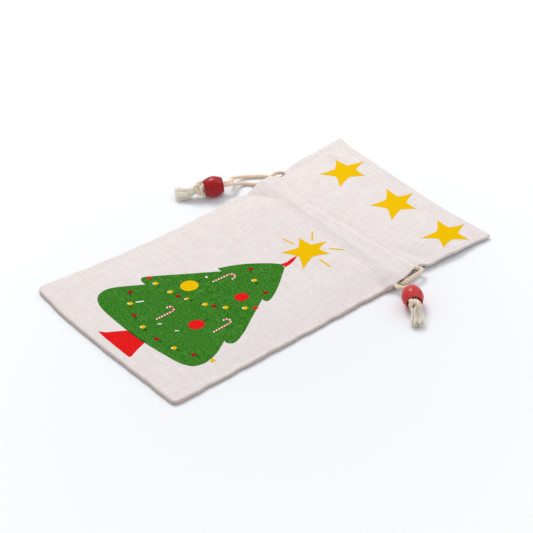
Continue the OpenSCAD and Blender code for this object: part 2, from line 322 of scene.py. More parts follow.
def kept(tree, name):
    return add(tree, "ShaderNodeAttribute", attribute_name=name).outputs["Fac"]


def dress(tree, shader, colour, height, strength, distance):
    """Gives the shader its pattern of colour, and small relief from a pattern of height."""
    bump = add(tree, "ShaderNodeBump",
               {"Height": height, "Strength": strength, "Distance": distance}).outputs[0]
    tree.links.new(colour, shader.inputs["Base Color"])
    tree.links.new(bump, shader.inputs["Normal"])


def cotton_cord():
    """Cream cotton plies with fine lengthwise fibres and painted tan shade down in the grooves."""
    cream, tan, fleck = (0.98, 0.85, 0.69), (0.88, 0.50, 0.26), (0.96, 0.72, 0.48)
    material, tree, shader = finish_of("cotton_cord", cream, 0.9, Sheen_Weight=0.5,
                                       Sheen_Roughness=0.5, Specular_IOR_Level=0.2)
    depth = kept(tree, "groove")
    fibre_place = add(tree, "ShaderNodeCombineXYZ",
                      {0: maths(tree, "MULTIPLY", kept(tree, "along"), 350.0),
                       1: maths(tree, "MULTIPLY", depth, 5.0)}).outputs[0]
    fibres = noise(tree, fibre_place, 1.6, 4.0)
    patches = noise(tree, own_place(tree), 420.0, 3.0)
    colour = mixed(tree, ranged(tree, patches, 0.5, 0.72), cream, fleck)
    # Painted shade: tan down in the grooves between the plies.
    colour = mixed(tree, ranged(tree, depth, 0.45, 1.0), colour, tan)
    colour = mixed(tree, ranged(tree, fibres, 0.35, 0.7, 0.0, 0.35), colour, (0.98, 0.93, 0.83))
    dress(tree, shader, colour, fibres, 0.6, 0.0003)
    return material


cord_material = cotton_cord()


def rope(name, routes, body, nodes=()):
    """Laid cord along one or more routes, in millimetres."""
    lines = [eased(route) * MM for route in routes]
    piece = grown(name, lines, rope_tree,
                  {"Lay": lay * MM, "Ply": ply_r * MM, "Offset": ply_offset * MM,
                   "Step": 0.45 * MM, "Material": cord_material})
    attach(piece, body)
    if nodes:
        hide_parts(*nodes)
    return piece


def free_strand(name, route, body, node):
    """An end of a drawcord, from where it leaves the channel to its knot."""
    piece = rope(name, [route], body, [node])
    path = eased(route, 2) * MM
    return piece


rope("left_cord_in_channel", [left_run], "left_drawcord", ["left_cord_run"])
rope("right_cord_in_channel", [right_run], "right_drawcord", ["right_cord_run"])

# ---- Knots ----
# Both ends of a cord are tied together in one overhand knot behind the bead, and drawn tight.
# It shows two turns round the standing part, with an end crossing over them on each side.


def knot(name, at, turn, body, node):
    """Its cord is placed along the bead's axis, round it by an angle and out from it."""
    axis, across = np.array([cos(turn), sin(turn), 0]), np.array([-sin(turn), cos(turn), 0])
    up = np.array([0, 0, 1.0])

    def place(along, angle, r):
        return np.array(at) + along * axis + r * (cos(angle) * across + sin(angle) * up)

    wrap = [place(6.6 + 5 * t, 0.6 + 2.1 * 2 * pi * t, 3.05 - 0.5 * abs(2 * t - 1))
            for t in np.linspace(0, 1, 27)]
    over = [
        place(5.2, 2.7, 1.8), place(6.3, 2.4, 3.5), place(8.6, 1.95, 4.3),
        place(11.2, 1.35, 4.0), place(13.2, 0.9, 2),
    ]
    under = [
        place(5.2, -0.5, 1.8), place(6.5, -0.9, 3.4), place(9, -1.4, 4),
        place(11.4, -2.1, 3.5), place(13.2, -2.5, 1.7),
    ]
    cores = [[place(4.4, side, 1.3), place(9, side + 0.8, 1.2), place(14, side + 1.4, 1.3)]
             for side in (0, pi)]
    return rope(name, [wrap, over, under, *cores], body, [node])


left_knot = knot("left_overhand_knot", left_bead_at, left_bead_turn, "left_drawcord", "left_knot")
right_knot = knot("right_overhand_knot", right_bead_at, right_bead_turn, "right_drawcord",
                  "right_knot")

# ---- Frayed ends ----
# Behind the knot the plies are untwisted and teased out into two soft tufts of loose fibres.
fray_tree, given = new_tree(
    "frayed_fibres", {"Count": "Int", "Start spread": "Float", "End spread": "Float",
                      "Fibre": "Float", "Waver": "Float", "Seed": "Int",
                      "Material": "Material"}
)
many = add(fray_tree, "GeometryNodeDuplicateElements",
           {"Geometry": lines_of(fray_tree, given, "COUNT", 11), "Amount": given["Count"]},
           domain="SPLINE")
which = many.outputs["Duplicate Index"]
stray = add(fray_tree, "FunctionNodeRandomValue",
            {"Min": (-1, -1, -1), "Max": (1, 1, 1), "ID": which, "Seed": given["Seed"]},
            data_type="FLOAT_VECTOR").outputs[0]
factor = add(fray_tree, "GeometryNodeSplineParameter").outputs["Factor"]
open_out = add(fray_tree, "ShaderNodeMapRange",
               {0: maths(fray_tree, "POWER", factor, 1.4), 3: given["Start spread"],
                4: given["End spread"]}).outputs[0]
spread = scaled(fray_tree, stray, open_out)
shifted = vector(fray_tree, "ADD", add(fray_tree, "GeometryNodeInputPosition").outputs[0],
                 scaled(fray_tree, stray, 0.02))
waver = add(fray_tree, "ShaderNodeTexNoise", {"Vector": shifted, "Scale": 260.0, "Detail": 1.0})
waver = vector(fray_tree, "SUBTRACT", waver.outputs["Color"], (0.5, 0.5, 0.5))
waver = scaled(fray_tree, waver, maths(fray_tree, "MULTIPLY", given["Waver"], factor))
fibre = add(fray_tree, "GeometryNodeSetPosition",
            {"Geometry": many.outputs[0], "Offset": vector(fray_tree, "ADD", spread, waver)})
shade = add(fray_tree, "FunctionNodeRandomValue", {"ID": which, "Seed": 7}, data_type="FLOAT")
fibre = keep(fray_tree, fibre.outputs[0], "fibre_shade", shade.outputs[1], "CURVE")
section = add(fray_tree, "GeometryNodeCurvePrimitiveCircle",
              {"Resolution": 4, "Radius": given["Fibre"]})
end_tree(fray_tree, swept(fray_tree, fibre.outputs[0], section.outputs[0]), given["Material"])


def loose_cotton():
    """Pale unspun cotton, some fibres ivory and some straw coloured."""
    ivory, straw = (0.98, 0.92, 0.82), (0.97, 0.78, 0.48)
    material, tree, shader = finish_of("loose_cotton", ivory, 0.85, Sheen_Weight=0.4,
                                       Sheen_Roughness=0.4, Specular_IOR_Level=0.2)
    clumps = noise(tree, own_place(tree), 300.0)
    amount = maths(tree, "MULTIPLY", ranged(tree, kept(tree, "fibre_shade"), 0.5, 1.0),
                   ranged(tree, clumps, 0.4, 0.6))
    tree.links.new(mixed(tree, amount, ivory, straw), shader.inputs["Base Color"])
    return material


frayed_material = loose_cotton()
left_tufts = [
    [beside(left_bead_at, left_bead_turn, 12, -1.2), (-90.2, 9.2, 6.6), (-92.4, 8, 5.4),
     (-95.2, 6.2, 3.8), (-98, 4.9, 3), (-100.8, 3.4, 2.8)],
    [beside(left_bead_at, left_bead_turn, 12, 1.2), (-88.9, 8.8, 6.6), (-89.8, 6.9, 5.2),
     (-91.6, 4.7, 3.6), (-93.8, 2.7, 3), (-96, 0.6, 2.8)],
]
right_tufts = [
    [beside(right_bead_at, right_bead_turn, 12, 1.2), (109.8, 37.7, 6.4), (111.6, 37.3, 5.2),
     (113.2, 36.2, 3.6), (114.8, 34.9, 3.1), (116, 33.2, 2.9)],
    [beside(right_bead_at, right_bead_turn, 12, -1.2), (108.6, 35.4, 6.4), (109.8, 34.2, 5.2),
     (111.4, 33.2, 3.6), (112.8, 32.2, 3.1), (114.2, 30.6, 2.9)],
]


def tassel(name, tufts, body, node, seed):
    piece = grown(name, [eased(t, 1) * MM for t in tufts], fray_tree,
                  {"Count": 150, "Start spread": 1.5 * MM, "End spread": 2.5 * MM,
                   "Fibre": 0.14 * MM, "Waver": 2.2 * MM, "Seed": seed,
                   "Material": frayed_material})
    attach(piece, body)
    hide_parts(node)
    return piece


left_tassel = tassel("left_frayed_end", left_tufts, "left_drawcord", "left_tassel", 3)
right_tassel = tassel("right_frayed_end", right_tufts, "right_drawcord", "right_tassel", 11)

# ---- Beads ----
# Turned wooden barrels with a countersunk hole, dyed red and lacquered. The left one is darker
# and glossier; on the right one the grain shows through.
bead_r, bead_flat_r, bead_half, bore_r, sink_r, sink = 7.0, 5.1, 6.5, 3.0, 4.6, 2.5


def lacquered_wood(name, colour, dark, at, turn, gloss, grain):
    """Wood grain along the bead's axis under clear lacquer, with painted shade making it darker on
    the ends and round the hole.
    """
    material, tree, shader = finish_of(name, colour, 0.45, Coat_Weight=gloss,
                                       Coat_Roughness=0.14, Coat_IOR=1.45,
                                       Specular_IOR_Level=0.1)
    centred = add(tree, "ShaderNodeMapping",
                  {"Vector": own_place(tree), "Location": [c * MM for c in at],
                   "Rotation": (0, 0, turn)}, vector_type="TEXTURE").outputs[0]
    stretched = add(tree, "ShaderNodeMapping",
                    {"Vector": centred, "Scale": (0.12, 1, 1)}).outputs[0]
    rings = noise(tree, stretched, 1400.0, 5.0)
    pores = noise(tree, stretched, 4200.0, 2.0)
    share = ranged(tree, rings, 0.42, 0.68, 0.0, grain)
    pore = ranged(tree, pores, 0.62, 0.78, 0.0, grain)
    tone = mixed(tree, share, colour, dark)
    tone = mixed(tree, pore, tone, tuple(c * 0.4 for c in dark))
    radial = add(tree, "ShaderNodeMapping", {"Vector": centred, "Scale": (0, 1, 1)}).outputs[0]
    radius = add(tree, "ShaderNodeVectorMath", {0: radial}, operation="LENGTH").outputs["Value"]
    # Painted shade: the ends and the hole are darkened within about 5 mm of the bead's axis.
    painted_end_shade = ranged(tree, radius, 4.6 * MM, 5.5 * MM, 1.0, 0.0)
    tone = mixed(tree, painted_end_shade, tone, tuple(c * 0.35 for c in colour))
    dress(tree, shader, tone, maths(tree, "SUBTRACT", share, pore), 0.25, 0.0001)
    tree.links.new(ranged(tree, rings, 0.3, 0.7, 0.3, 0.5), shader.inputs["Roughness"])
    return material


def bead(name, at, turn, body, node, material):
    """A barrel turned about its axis, with softened rims and a countersunk bore."""
    belly = [
        (bead_flat_r + (bead_r - bead_flat_r) * cos(radians(1.5 * a)), bead_half * a / 60)
        for a in range(-57, 58, 6)
    ]
    rim = [(5.0, bead_half - 0.05), (4.8, bead_half + 0.02), (sink_r, bead_half - 0.1)]
    bore = [(3.7, bead_half - 1.3), (3.1, bead_half - sink + 0.1), (bore_r, bead_half - sink - 0.4)]
    half = rim + bore
    profile = [(r, -h) for r, h in reversed(half)] + belly + half
    sides = 64
    axis, across = Vector((cos(turn), sin(turn), 0)), Vector((-sin(turn), cos(turn), 0))
    up = Vector((0, 0, 1))
    spokes = [cos(2 * pi * k / sides) * across + sin(2 * pi * k / sides) * up for k in range(sides)]
    points = [(Vector(at) + h * axis + r * spoke) * MM for r, h in profile for spoke in spokes]
    count = len(profile)
    faces = [
        (i * sides + k, i * sides + (k + 1) % sides,
         (i + 1) % count * sides + (k + 1) % sides, (i + 1) % count * sides + k)
        for i in range(count) for k in range(sides)
    ]
    mesh = bpy.data.meshes.new(name)
    mesh.from_pydata(points, [], faces)
    mesh.materials.append(material)
    smooth_outward(mesh)
    piece = link(name, mesh)
    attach(piece, body)
    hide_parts(node)
    return piece


left_bead = bead(
    "left_wooden_bead", left_bead_at, left_bead_turn, "left_bead_body", "left_bead",
    lacquered_wood("dark_red_lacquer", (0.40, 0.003, 0.006), (0.20, 0.001, 0.002),
                   left_bead_at, left_bead_turn, 0.5, 0.35),
)
right_bead = bead(
    "right_wooden_bead", right_bead_at, right_bead_turn, "right_bead_body", "right_bead",
    lacquered_wood("worn_red_lacquer", (0.60, 0.045, 0.04), (0.40, 0.012, 0.014),
                   right_bead_at, right_bead_turn, 0.4, 0.6),
)

# The four free strands lie loose; the bead, knot and frayed end go with each pair.
free_strand("left_front_free_strand", left_front_strand, "left_drawcord",
            "left_cord_front_strand")
free_strand("left_back_free_strand", left_back_strand, "left_drawcord", "left_cord_back_strand")
free_strand("right_front_free_strand", right_front_strand, "right_drawcord",
            "right_cord_front_strand")
free_strand("right_back_free_strand", right_back_strand, "right_drawcord",
            "right_cord_back_strand")

# ---- Floor and light ----
# A plain white table with a painted soft shadow, darker and bluer near the pouch and paler far out,
# under a large soft light from the far left, a weaker one from behind and an even white surround.
floor = bpy.data.meshes.new("floor")
floor.from_pydata([(-4, -4, 0), (4, -4, 0), (4, 4, 0), (-4, 4, 0)], [], [(0, 1, 2, 3)])
floor_material, floor_nodes, floor_shader = finish_of("white_table", (0.9, 0.9, 0.9), 0.7,
                                                      Specular_IOR_Level=0.2)
# Painted shadow: the table is darker and bluer within 0.1 m of the middle, fading to its paler
# colour by 0.3 m.
far_out = add(floor_nodes, "ShaderNodeVectorMath", {0: own_place(floor_nodes)},
              operation="LENGTH")
far_out = ranged(floor_nodes, far_out.outputs["Value"], 0.1, 0.3)
floor_nodes.links.new(mixed(floor_nodes, far_out, (0.83, 0.835, 0.86), (0.94, 0.94, 0.945)),
                      floor_shader.inputs["Base Color"])
floor.materials.append(floor_material)
link("floor", floor)


def soft_light(name, place, size, power, colour):
    """A round lamp aimed at the middle of the pouch."""
    lamp = bpy.data.lights.new(name, "AREA")
    lamp.shape, lamp.size, lamp.energy, lamp.color = "DISK", size, power, colour
    light = bpy.data.objects.new(name, lamp)
    light.location = place
    light.rotation_mode = "QUATERNION"
    light.rotation_quaternion = (-Vector(place)).to_track_quat("-Z", "Y")
    bpy.context.scene.collection.objects.link(light)


soft_light("key_light", (-1.0, 0.35, 1.35), 0.9, 16.5, (1, 0.985, 0.965))
soft_light("fill_light", (0.3, 1.2, 1.5), 1.6, 6.5, (0.96, 0.98, 1))
world = bpy.data.worlds.new("white_surround")
world.use_nodes = True
world.node_tree.nodes["Background"].inputs["Color"].default_value = (0.95, 0.97, 1, 1)
world.node_tree.nodes["Background"].inputs["Strength"].default_value = 0.64
bpy.context.scene.world = world
bpy.context.scene.view_settings.view_transform = "Standard"

# ---- Front and back cloth ----
# Two layers of off-white cotton canvas, 0.6 mm thick, sewn along the sides and the bottom and
# turned right side out. Two rows of stitches across them, with a facing inside, make the
# channel; the left edge is drawn in where the cords leave it.
cloth_t = 0.6
pouch_low, pouch_high = (np.array(corner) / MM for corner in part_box("back_panel"))
bottom_y, mouth_y, half_w = pouch_low[1], pouch_high[1], pouch_high[0]
seam_z = 1.3
lower_row_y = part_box("front_lower_stitching")[0].y / MM + 0.25
zone_y = 45.0
left_front_edge = [
    (-125, -75), (-60, -74.6), (-20, -73.6), (10, -72), (28, -69.6), (39, -67.4), (46, -67),
    (53, -66.6), (58, -65), (62, -61.8), (64.5, -61.4), (68, -63), (72, -66.4), (76, -68.6),
    (90, -69.8), (102, -71), (112, -71.8), (119, -72.2), (125, -72.6),
]
left_back_edge = [
    (-125, -75), (-60, -74.6), (-20, -73.6), (10, -72), (28, -69.6), (39, -67.6), (48, -67),
    (62, -66), (70, -68.2), (82, -72), (100, -74), (114, -75.4), (125, -76.8),
]
right_front_edge = [
    (-125, 75.3), (-60, 75.8), (0, 76.1), (30, 76.3), (39, 76.8), (44, 78.2), (50, 78.2),
    (57, 76.8), (64, 74.8), (68.5, 73.2), (71, 73.6), (74.5, 75.4), (82, 76.4), (90, 77),
    (100, 77.3), (112, 77.7), (125, 77.9),
]
right_back_edge = [
    (-125, 75.3), (-60, 75.8), (0, 76.1), (30, 76.3), (39, 76.6), (48, 75.4), (60, 74),
    (72, 73.8), (86, 74), (100, 74.6), (112, 75.8), (125, 76.8),
]
crept_in = [
    (-125, -2.6), (-112, -1.4), (-100, 0.3), (-85, 2.3), (-70, 4.2), (-55, 5.4), (-20, 5.9),
    (3, 5.1), (27, 2.6), (40, 0), (125, 0),
]
bottom_bow = [
    (-80, 0.9), (-70, 1.5), (-56, 2.5), (-40, 3.5), (-20, 3.3), (0, 3), (20, 2.3), (40, 1.4),
    (60, 0.8), (80, 0.1),
]
mouth_bow = [
    (-80, 0), (-62, 1.6), (-48, 2), (-30, 3.5), (0, 3.2), (22, 3.1), (42, 2.4), (60, 1.1),
    (80, -0.2),
]
left_corner_r, right_corner_r = 6.0, 3.5


def ease(t):
    t = np.clip(t, 0, 1)
    return t * t * (3 - 2 * t)


def hump(away, width):
    """1 at a place and less and less away from it."""
    return np.exp(-((away / width) ** 2))


def rounded(inside, r):
    """How far an edge rounded to a radius r falls away, at a distance in from it."""
    return np.where(inside < r, r - np.sqrt(np.maximum(r * r - (r - inside) ** 2, 0)), 0)


def sewn_at(y):
    """1 where the sides are sewn together, 0 above, where the layers are apart."""
    return 1 - ease((y - 40) / 5)


def edge_at(edge, y):
    """How far out an edge lies at a height y, along a smooth line through its points."""
    ys, xs = np.array(edge, float).T
    slopes = np.gradient(xs, ys)
    i = np.clip(np.searchsorted(ys, y) - 1, 0, len(ys) - 2)
    span = ys[i + 1] - ys[i]
    t = np.clip((y - ys[i]) / span, 0, 1)
    return curved(t, xs[i], span * slopes[i], xs[i + 1], span * slopes[i + 1])


def settle(x, y):
    """Where the cloth lies once the pouch has been put down: its left side a little drawn in,
    its bottom bowed out, its mouth bowed in, and its edges not quite straight."""
    uneven = 0.22 * np.sin(y / 3.7) + 0.13 * np.sin(y / 1.9 + x / 90)
    uneven = uneven * ease(np.abs(y - zone_y) / 12)
    out = edge_at(crept_in, y) * np.clip(-x / half_w, 0, 1.1)
    out = out + uneven * np.clip(np.abs(x) / half_w, 0, 1.1) ** 12
    down = edge_at(bottom_bow, x) * ease((-60 - y) / 65)
    down = down + (0.1 * np.sin(x / 4.3) + 0.08 * np.sin(x / 2.1)) * ease((-110 - y) / 15)
    down = down + edge_at(mouth_bow, x) * ease((y - 92) / 33)
    return x + out, y - down


def settled(points):
    x, y = settle(points[..., 0], points[..., 1])
    return np.stack([x, y, points[..., 2]], -1)


def unsettle(x, y):
    """The place on the straight cloth that has come to lie at x, y."""
    from_x, from_y = x, y
    for _ in range(3):
        to_x, to_y = settle(from_x, from_y)
        from_x, from_y = from_x + x - to_x, from_y + y - to_y
    return from_x, from_y


def upper_row(x):
    """The upper row of stitches sags towards the bottom between the drawn-in ends."""
    return 60.3 + 0.075 * x + 0.00025 * x**2 + 5.6 * hump(x + 66, 20)


def edge_distance(x, y, left, right):
    """Distance in from the sides and the rounded bottom corners."""
    to_left = x - edge_at(left, y)
    to_right = edge_at(right, y) - x
    up = y - bottom_y
    distance = np.minimum(np.minimum(to_left, to_right), up)
    for side, r in ((to_left, left_corner_r), (to_right, right_corner_r)):
        corner = (side < r) & (up < r)
        distance = np.where(corner, r - np.hypot(r - side, r - up), distance)
    return np.maximum(distance, 0)


def ripple(x, y):
    """Slight waves of cloth that has been pressed and handled."""
    return (
        0.22 * np.sin(x / 15 + 1.3 + 0.8 * np.sin(y / 31)) * np.sin(y / 26 + 0.4)
        + 0.16 * np.sin(y / 19 + 0.7 * np.sin(x / 23) + 2.1)
        + 0.10 * np.sin((x + 0.7 * y) / 8.5 + 1.5 * np.sin(y / 17))
    )


def pucker(x, y):
    """Small folds across the rows of stitches, deepest where the cords have drawn it up."""
    upper = y - upper_row(x)
    lower = y - lower_row_y
    drawn = 0.3 + 0.7 * hump(x + 12, 30) + 0.5 * hump(x + 62, 12)
    folds = np.sin(x / 1.9 + 0.12 * y + 2 * np.sin(x / 13)) + 0.6 * np.sin(x / 1.15 + 1)
    fan = np.sin(x / 3.3 + 0.1 * y + 1.1 * np.sin(x / 21))
    wide = np.sin(x / 6.1 + 0.16 * y + 1.7 * np.sin(x / 17) + 0.8)
    return (
        0.13 * drawn * folds * np.exp(-np.abs(upper) / 3.5)
        + 0.26 * drawn * fan * np.exp(-np.abs(upper) / 8)
        + 0.3 * drawn * wide * hump(upper, 12)
        + 0.05 * folds * np.exp(-np.abs(lower) / 3)
        - 0.45 * hump(upper, 1.7) * (0.35 + 0.65 * drawn)
        - 0.12 * hump(lower, 1.4)
    )


def crease(x, y, a, b, width, depth):
    """One soft fold from a to b."""
    a, b = np.array(a, float), np.array(b, float)
    d = b - a
    t = np.clip(((x - a[0]) * d[0] + (y - a[1]) * d[1]) / (d @ d), 0, 1)
    gap = np.hypot(x - a[0] - t * d[0], y - a[1] - t * d[1])
    return depth * hump(gap, width) * np.sin(pi * np.clip(t, 0.04, 0.96))


creases = [
    ((-66, 105), (-48, 111), 2.4, 0.9), ((-50, 113), (-30, 108), 3.2, 0.5),
    ((66, 98), (77, 100), 2.2, 0.7), ((-62, 74), (-30, 80), 4, 0.5),
    ((-56, 40), (-20, 30), 5, 0.5),
]


def front_height(x, y, over_cords=1.0):
    """Height of the front cloth's outer side; without its rise over the cords, the facing's."""
    inside = edge_distance(x, y, left_front_edge, right_front_edge)
    up_body = np.clip((y - bottom_y) / (41 - bottom_y), 0, 1)
    to_mouth = np.clip((y - 66) / (mouth_y - 66), 0, 1)
    level = 2.6 + 2.8 * up_body - 2.8 * ease(to_mouth)
    full = ease((y + 5) / 48) * (1 - ease((y - 62) / 36))
    channel = ease((y - lower_row_y - 0.5) / 6) * ease((upper_row(x) - 0.8 - y) / 4.5)
    right_cord = hump(y - 49.4, 2.4)
    left_cord = hump(y - upper_row(x) + 5, 2.6)
    rise = 1.3 * full + channel * (1.2 + 0.4 * np.maximum(right_cord, left_cord))
    slit = ease((y - 36) / 9) * ease((78 - y) / 12)
    level = level + over_cords * rise
    level = level - over_cords * 1.7 * slit * hump(inside, 5)
    thin = 3.0 + 0.2 * np.sin(y / 11)
    level = thin + (level - thin) * np.maximum(ease(inside / 26), slit)
    calm = ease(inside / 6)
    level = level + calm * (ripple(x, y) + pucker(x, y))
    for fold_line in creases:
        level = level + crease(x, y, *fold_line)
    lifted = hump(y - 94, 15) * np.exp(-inside / 9) * (x > 0)
    level = level + over_cords * 1.4 * lifted
    sewn = sewn_at(y)
    roll, free = rounded(inside, seam_z), rounded(inside, 0.5)
    hem = (1 - sewn) * 0.3 * (1 - ease((inside - 3.2) / 0.7))
    over_turnings = 0.2 * sewn * (ease((inside - 5) / 6) - 1)
    return level + over_turnings - sewn * (level / seam_z - 1) * roll - (1 - sewn) * free + hem


def back_height(x, y):
    """Height of the back cloth's underside, which rolls up to the seam at its edges."""
    inside = edge_distance(x, y, left_back_edge, right_back_edge)
    return sewn_at(y) * rounded(inside, seam_z - 0.04)


def mouth_at(x, drawn):
    """The front cloth's mouth lies a little back from the back cloth's at the left corner."""
    return mouth_y - drawn * ease((-x - 25) / 45)


def cloth_grid(left, right, drawn_mouth, y_from, pitch=1.3):
    """Places on one layer of cloth, as rows of x and y, with rows close together at the edges."""
    near = [0, 0.05, 0.2, 0.45, 0.8, 1.3, 2.2, 3.4]
    inner = half_w - near[-1]
    middle = np.linspace(-inner, inner, 2 * ceil(inner / pitch) + 1)
    across = np.concatenate([[-half_w + d for d in near[:-1]], middle,
                             [half_w - d for d in reversed(near[:-1])]])
    starts = [y_from + d for d in near[:-1]]
    low = np.linspace(y_from + near[-1], zone_y, ceil((zone_y - y_from) / pitch) + 1)
    if y_from + near[-1] > zone_y - pitch:
        starts, low = [y_from], np.array([zone_y])
    high = np.linspace(zone_y, mouth_y - near[-1], ceil((mouth_y - zone_y) / pitch) + 1)
    rows = np.concatenate([starts, low, high[1:], [mouth_y - d for d in reversed(near[:-1])]])
    s, y = np.meshgrid(across, rows)
    y_out = y + (mouth_at(s, drawn_mouth) - mouth_y) * ease((y - 72) / (mouth_y - 72))
    x_out = np.zeros_like(s)
    for side, edge, r in ((-1, left, left_corner_r), (1, right, right_corner_r)):
        reach = np.abs(edge_at(edge, y)) - rounded(np.maximum(y - bottom_y, 0), r)
        outer = side * s > inner
        mine = side * s >= 0
        moved = np.where(outer, reach - (half_w - np.abs(s)),
                         np.abs(s) * (reach - near[-1]) / inner)
        x_out = np.where(mine, side * moved, x_out)
    return x_out, y_out, list(rows).index(zone_y), list(across).index(0.0)


def shell(name, top, under, normals, material, fold=None):
    """A closed piece of cloth between two grids of points, in millimetres. Where the cloth is
    folded into a seam it has a fold value above 0, which gives it painted shade there."""
    rows, columns = top.shape[:2]
    points = np.concatenate([top.reshape(-1, 3), under.reshape(-1, 3)]) * MM
    n = rows * columns
    at = np.arange(n).reshape(rows, columns)
    faces = np.stack([at[:-1, :-1], at[:-1, 1:], at[1:, 1:], at[1:, :-1]], -1).reshape(-1, 4)
    border = np.concatenate([at[0, :-1], at[:-1, -1], at[-1, :0:-1], at[:0:-1, 0]])
    after = np.roll(border, -1)
    walls = np.stack([border, border + n, after + n, after], -1)
    every = np.concatenate([faces, faces[:, ::-1] + n, walls])
    mesh = bpy.data.meshes.new(name)
    mesh.from_pydata(points.tolist(), [], every.tolist())
    mesh.materials.append(material)
    smooth = np.ones(len(every), bool)
    smooth[-len(walls):] = False
    mesh.polygons.foreach_set("use_smooth", smooth)
    corner_normals = np.concatenate([normals.reshape(-1, 3), -normals.reshape(-1, 3)])[every]
    for i in range(len(walls)):
        face = mesh.polygons[len(every) - len(walls) + i]
        corner_normals[len(every) - len(walls) + i, :] = face.normal
    mesh.normals_split_custom_set(corner_normals.reshape(-1, 3).tolist())
    if fold is not None:
        folded = mesh.attributes.new("fold", "FLOAT", "POINT")
        folded.data.foreach_set("value", np.concatenate([fold, fold]).ravel())
    return link(name, mesh)


def grid_normals(points):
    along = np.gradient(points, axis=1)
    up = np.gradient(points, axis=0)
    n = np.cross(along, up)
    return n / np.maximum(np.linalg.norm(n, axis=-1, keepdims=True), 1e-9)


def gather(piece):
    """Bakes the cloth piece's placement into its mesh."""
    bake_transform(piece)


def lay_cloth(piece, side):
    """Pieces of the left and right side have their placement baked in; a piece across the middle
    goes with the root.
    """
    if side:
        gather(piece)
    else:
        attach(piece, "root")


def weave_group():
    """Plain weave: warp and weft threads of uneven thickness that pass over each other."""
    group = bpy.data.node_groups.new("plain_weave", "ShaderNodeTree")
    for label in ("Height", "Slub", "Gap"):
        group.interface.new_socket(label, in_out="OUTPUT", socket_type="NodeSocketFloat")
    pitch = 0.00078
    place = own_place(group)
    drift = add(group, "ShaderNodeTexNoise", {"Vector": place, "Scale": 90.0, "Detail": 2.0})
    shift = add(group, "ShaderNodeVectorMath",
                {0: drift.outputs["Color"], 1: (0.0011, 0.0011, 0), 2: place},
                operation="MULTIPLY_ADD").outputs[0]
    axes = add(group, "ShaderNodeSeparateXYZ", {0: shift}).outputs
    warp = maths(group, "COSINE", maths(group, "MULTIPLY", axes[0], pi / pitch))
    weft = maths(group, "COSINE", maths(group, "MULTIPLY", axes[1], pi / pitch))
    over = maths(group, "MULTIPLY", warp, weft)
    warp_h = maths(group, "MULTIPLY", maths(group, "ABSOLUTE", warp),
                   maths(group, "MULTIPLY_ADD", over, 0.45, 0.55))
    weft_h = maths(group, "MULTIPLY", maths(group, "ABSOLUTE", weft),
                   maths(group, "MULTIPLY_ADD", over, -0.45, 0.55))
    height = maths(group, "MAXIMUM", warp_h, weft_h)
    long_y = add(group, "ShaderNodeMapping", {"Vector": shift, "Scale": (1, 0.09, 1)}).outputs[0]
    long_x = add(group, "ShaderNodeMapping", {"Vector": shift, "Scale": (0.09, 1, 1)}).outputs[0]
    slub = maths(group, "ADD", noise(group, long_y, 900.0, 3.0), noise(group, long_x, 900.0, 3.0))
    slub = maths(group, "MULTIPLY", slub, 0.5)
    # Gap is 1 down between the threads; the canvas paints shade with it, the inks thicker ink.
    gap = maths(group, "SUBTRACT", 1.0, height)
    height = maths(group, "MULTIPLY_ADD", slub, 1.2, height)
    add(group, "NodeGroupOutput", {"Height": height, "Slub": slub, "Gap": gap})
    return group


weave = weave_group()


def canvas():
    """Off-white cotton canvas with slubs and a few darker seed flecks, and painted shade between
    the threads and where it rolls into a seam.
    """
    cloth, shade, light = (0.77, 0.705, 0.685), (0.69, 0.62, 0.59), (0.835, 0.775, 0.76)
    material, tree, shader = finish_of("cotton_canvas", cloth, 0.92, Sheen_Weight=0.15,
                                       Sheen_Roughness=0.6, Specular_IOR_Level=0.15)
    woven = add(tree, "ShaderNodeGroup", node_tree=weave).outputs
    colour = mixed(tree, ranged(tree, woven["Slub"], 0.40, 0.62), shade, light)
    colour = mixed(tree, 0.45, colour, cloth)
    # Painted shade: darker down between the threads of the weave.
    colour = mixed(tree, ranged(tree, woven["Gap"], 0.35, 0.8, 0, 0.3), colour, (0.5, 0.44, 0.4))
    # Painted shade: tan-grey where the cloth rolls down into the side and bottom seams.
    folded = ranged(tree, kept(tree, "fold"), 0.1, 0.9, 0, 0.75)
    colour = mixed(tree, folded, colour, (0.54, 0.44, 0.375))
    flecks = ranged(tree, noise(tree, own_place(tree), 520.0, 1.0), 0.735, 0.8)
    colour = mixed(tree, maths(tree, "MULTIPLY", flecks, 0.5), colour, (0.4, 0.31, 0.22))
    dress(tree, shader, colour, woven["Height"], 0.45, 0.00016)
    return material


canvas_material = canvas()


def quarters(name, top, under, fold, row, column, nodes):
    """Cuts one layer of cloth into four areas, left and right of the body and of the top, and
    gives each with its flat size."""
    top, under = settled(top), settled(under)
    normals = grid_normals(top)
    parts = []
    areas = ("body", slice(0, row + 1), (0.075, 0.17)), ("top", slice(row, None), (0.075, 0.08))
    for zone, rows, flat in areas:
        for side, columns in ((-1, slice(0, column + 1)), (1, slice(column, None))):
            label = f"{name}_{zone}_{'left' if side < 0 else 'right'}"
            piece = shell(label, top[rows, columns], under[rows, columns],
                          normals[rows, columns], canvas_material, fold[rows, columns])
            gather(piece)
            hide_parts(*nodes)
            parts.append((piece, flat))
    return parts


def three(x, y, z):
    return np.stack([x, y, z], -1)


# The share of painted shade on the seam's roll: 1 at a sewn edge, none 1.5 mm in.
def painted_seam_shade(y, inside):
    return sewn_at(y) * np.clip(1 - inside / 1.5, 0, 1)


